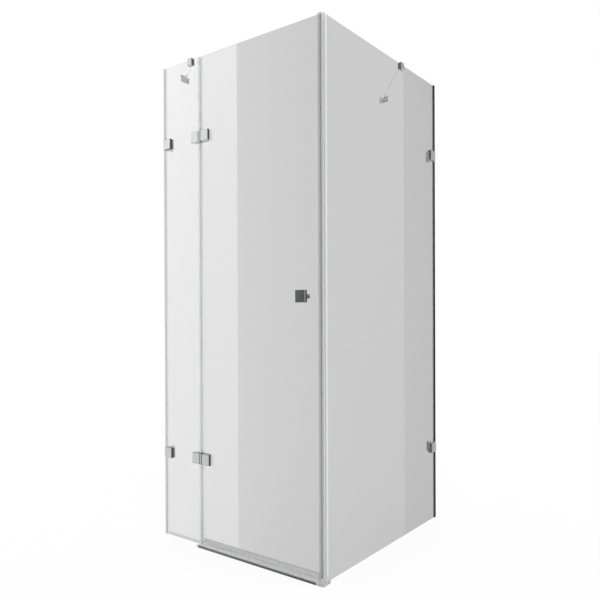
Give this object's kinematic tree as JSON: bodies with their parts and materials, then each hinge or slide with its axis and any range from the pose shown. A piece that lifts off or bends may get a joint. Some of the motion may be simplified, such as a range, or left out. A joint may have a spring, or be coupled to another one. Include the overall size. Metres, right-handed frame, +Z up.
{
  "type": "shower cabin",
  "caption": "Corner shower cabin of clear glass for two walls, with a narrow fixed panel, an outward hinged door with a square knob, and a side panel.",
  "frame": {"origin": "on the floor, where the centre lines of the front and side glass cross", "axes": "+Z up; -X along the front glass line to its wall; +Y along the side glass line to its wall; the door faces -Y"},
  "size_m": [0.824, 0.848, 1.905],
  "materials": {
    "toughened_glass": "clear float glass, toughened, polished edges",
    "chrome_fitting": "polished chrome plate on cast brass",
    "clear_pvc": "clear extruded flexible PVC",
    "magnet": "flexible rubber magnet strip",
    "gasket": "thin translucent silicone pad",
    "stainless_screw": "turned stainless steel",
    "bright_aluminium": "bright anodised extruded aluminium",
    "cap_plastic": "chromed injection-moulded plastic"
  },
  "bodies": {
    "enclosure": {"brace_clamp_pads": "gasket", "brace_grub_screws": "stainless_screw", "brace_studs": "stainless_screw", "corner_magnet_profile": "clear_pvc", "corner_magnet_strip": "magnet", "fixed_front_glass": "toughened_glass", "fixed_hinge_gaskets": "gasket", "fixed_hinge_screws": "stainless_screw", "front_brace_bar": "chrome_fitting", "front_brace_clamp": "chrome_fitting", "front_brace_wall_flange": "chrome_fitting", "front_lower_wall_clamp_body": "chrome_fitting", "front_lower_wall_clamp_cover": "chrome_fitting", "front_upper_wall_clamp_body": "chrome_fitting", "front_upper_wall_clamp_cover": "chrome_fitting", "front_wall_seal_lower": "clear_pvc", "front_wall_seal_middle": "clear_pvc", "front_wall_seal_upper": "clear_pvc", "hinge_gap_seal_lower": "clear_pvc", "hinge_gap_seal_middle": "clear_pvc", "hinge_gap_seal_upper": "clear_pvc", "lower_hinge_fixed_backplate": "chrome_fitting", "lower_hinge_fixed_leaf": "chrome_fitting", "lower_hinge_pin": "stainless_screw", "side_brace_bar": "chrome_fitting", "side_brace_clamp": "chrome_fitting", "side_brace_wall_flange": "chrome_fitting", "side_glass": "toughened_glass", "side_lower_wall_clamp_body": "chrome_fitting", "side_lower_wall_clamp_cover": "chrome_fitting", "side_upper_wall_clamp_body": "chrome_fitting", "side_upper_wall_clamp_cover": "chrome_fitting", "side_wall_seal_lower": "clear_pvc", "side_wall_seal_middle": "clear_pvc", "side_wall_seal_upper": "clear_pvc", "threshold_corner_cap": "cap_plastic", "threshold_left_cap": "cap_plastic", "threshold_rail": "bright_aluminium", "upper_hinge_fixed_backplate": "chrome_fitting", "upper_hinge_fixed_leaf": "chrome_fitting", "upper_hinge_pin": "stainless_screw", "wall_clamp_gaskets": "gasket", "wall_clamp_screws": "stainless_screw"},
    "door": {"door_bottom_seal": "clear_pvc", "door_glass": "toughened_glass", "door_hinge_gaskets": "gasket", "door_hinge_screws": "stainless_screw", "door_magnet_seal": "clear_pvc", "door_magnet_strip": "magnet", "knob_plate": "chrome_fitting", "knob_screw": "stainless_screw", "knob_stem": "chrome_fitting", "knob_washers": "gasket", "lower_hinge_door_backplate": "chrome_fitting", "lower_hinge_door_leaf": "chrome_fitting", "upper_hinge_door_backplate": "chrome_fitting", "upper_hinge_door_leaf": "chrome_fitting"}
  },
  "joints": [
    {"name": "door_hinge", "type": "hinge", "parent": "enclosure", "child": "door", "pos_m": [-0.591, -0.009, 0.9625], "axis": [0, 0, -1], "range_deg": [0, 90]}
  ]
}
